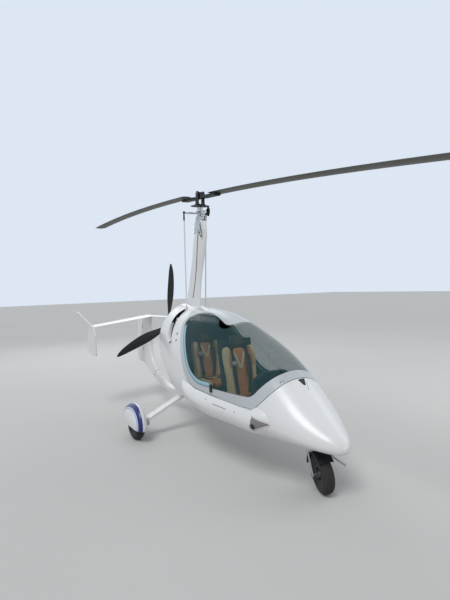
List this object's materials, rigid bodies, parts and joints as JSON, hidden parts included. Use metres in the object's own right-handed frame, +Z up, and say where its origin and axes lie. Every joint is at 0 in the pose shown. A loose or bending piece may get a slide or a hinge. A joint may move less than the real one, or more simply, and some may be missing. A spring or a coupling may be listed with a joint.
{
  "type": "gyrocopter",
  "caption": "Tandem cabin gyrocopter with a side-hinged canopy, streamlined mast, pusher propeller, swan-neck tail boom and tricycle gear, parked with its rotor fore and aft.",
  "frame": {"origin": "on the ground, on the centreline below the rotor hub", "axes": "+X the aircraft's left, +Y aft, +Z up; the nose points to -Y"},
  "size_m": [2.0364, 8.5614, 2.9718],
  "materials": {
    "white_hull": "gloss gelcoat",
    "tinted_glass": "tinted clear",
    "lamp_glass": "clear cover",
    "tan_leather": "satin leather",
    "seat_moulding": "matte",
    "cabin_trim": "matte",
    "engine_metal": "cast",
    "exhaust_steel": "brushed",
    "black_composite": "satin",
    "grey_steel": "satin",
    "white_rods": "gloss",
    "head_metal": "anodised",
    "black_hub": "satin",
    "blade_grey": "anodised grey",
    "tyre_rubber": "rubber",
    "rim_metal": "cast"
  },
  "bodies": {
    "airframe": {"cabin_floor": "cabin_trim", "engine_block": "engine_metal", "engine_cowl_port": "white_hull", "engine_cowl_starboard": "white_hull", "exhaust": "exhaust_steel", "firewall": "cabin_trim", "front_back_cushion": "tan_leather", "front_seat_cushion": "tan_leather", "front_seat_shell": "seat_moulding", "gear_leg_port": "white_hull", "gear_leg_starboard": "white_hull", "gearbox": "engine_metal", "hull_hinges": "grey_steel", "instrument_panel": "cabin_trim", "landing_light_port": "lamp_glass", "landing_light_starboard": "lamp_glass", "lower_hull": "white_hull", "main_axle_port": "grey_steel", "main_axle_starboard": "grey_steel", "mast": "white_hull", "mast_foot": "grey_steel", "mast_head": "head_metal", "pitot_tube": "grey_steel", "rear_back_cushion": "tan_leather", "rear_seat_cushion": "tan_leather", "rear_seat_shell": "seat_moulding", "rudder_hinges": "grey_steel", "side_pod_port": "white_hull", "side_pod_starboard": "white_hull", "spat_port": "white_hull", "spat_starboard": "white_hull", "stabiliser": "white_hull", "steering_bearing": "grey_steel", "tail_boom": "white_hull", "tail_plate_port": "white_hull", "tail_plate_starboard": "white_hull", "upper_hull": "white_hull"},
    "canopy": {"canopy_frame": "white_hull", "canopy_glass": "tinted_glass", "canopy_hinges": "grey_steel", "canopy_latch": "grey_steel"},
    "gimbal": {"gimbal_block": "head_metal"},
    "rotor_head": {"head_beam": "head_metal"},
    "rotor_spindle": {"rotor_tower": "black_hub"},
    "rotor": {"hub_bar": "black_hub", "rotor_blade_front": "blade_grey", "rotor_blade_rear": "blade_grey"},
    "control_rods": {"push_rods": "white_rods"},
    "propeller": {"propeller_hub": "black_composite", "propeller_blades": "black_composite"},
    "rudder": {"rudder": "white_hull"},
    "nose_gear": {"nose_fork": "grey_steel", "nose_mudguard": "black_composite"},
    "nose_wheel": {"nose_tyre": "tyre_rubber", "nose_rim": "rim_metal"},
    "port_wheel": {"main_port_tyre": "tyre_rubber", "main_port_rim": "rim_metal"},
    "starboard_wheel": {"main_starboard_tyre": "tyre_rubber", "main_starboard_rim": "rim_metal"}
  },
  "joints": [
    {"name": "canopy_hinge", "type": "hinge", "parent": "airframe", "child": "canopy", "pos_m": [0.42, -1.3, 0.65975], "axis": [0.0563, 0.9981, 0.0234], "range_deg": [0, 80]},
    {"name": "head_pitch", "type": "hinge", "parent": "airframe", "child": "gimbal", "pos_m": [0, 0, 2.52], "axis": [1, 0, 0], "range_deg": [-18, 0]},
    {"name": "head_roll", "type": "hinge", "parent": "gimbal", "child": "rotor_head", "pos_m": [0, 0, 2.56], "axis": [0, 1, 0], "range_deg": [-9, 9]},
    {"name": "rotor_spin", "type": "hinge", "parent": "rotor_head", "child": "rotor_spindle", "pos_m": [0, 0, 2.805], "axis": [0, -0.0837, 0.9965], "continuous": true},
    {"name": "rotor_teeter", "type": "hinge", "parent": "rotor_spindle", "child": "rotor", "pos_m": [0, 0, 2.805], "axis": [1, 0, 0], "range_deg": [-8, 8]},
    {"name": "control_rods", "type": "slide", "parent": "airframe", "child": "control_rods", "axis": [0, 0, 1], "range_m": [-0.05, 0]},
    {"name": "propeller_spin", "type": "hinge", "parent": "airframe", "child": "propeller", "pos_m": [0, 1.056, 1.205], "axis": [0, 1, 0], "continuous": true},
    {"name": "nose_steer", "type": "hinge", "parent": "airframe", "child": "nose_gear", "pos_m": [0, -1.988, 0.16441], "axis": [0, 0.309, 0.9511], "range_deg": [-10, 50]},
    {"name": "nose_wheel_spin", "type": "hinge", "parent": "nose_gear", "child": "nose_wheel", "pos_m": [0, -1.988, 0.16441], "axis": [0.9397, -0.3253, 0.1057], "continuous": true},
    {"name": "port_wheel_spin", "type": "hinge", "parent": "airframe", "child": "port_wheel", "pos_m": [0.817, 0.187, 0.18], "axis": [1, 0, 0], "continuous": true},
    {"name": "starboard_wheel_spin", "type": "hinge", "parent": "airframe", "child": "starboard_wheel", "pos_m": [-0.817, 0.187, 0.18], "axis": [1, 0, 0], "continuous": true},
    {"name": "rudder_hinge", "type": "hinge", "parent": "airframe", "child": "rudder", "pos_m": [0, 2.104, 0.9], "axis": [0, 0, 1], "range_deg": [-25, 25]}
  ],
  "couplings": [
    {"joint": "control_rods", "follows": "head_pitch", "m_per_rad": 0.15}
  ]
}
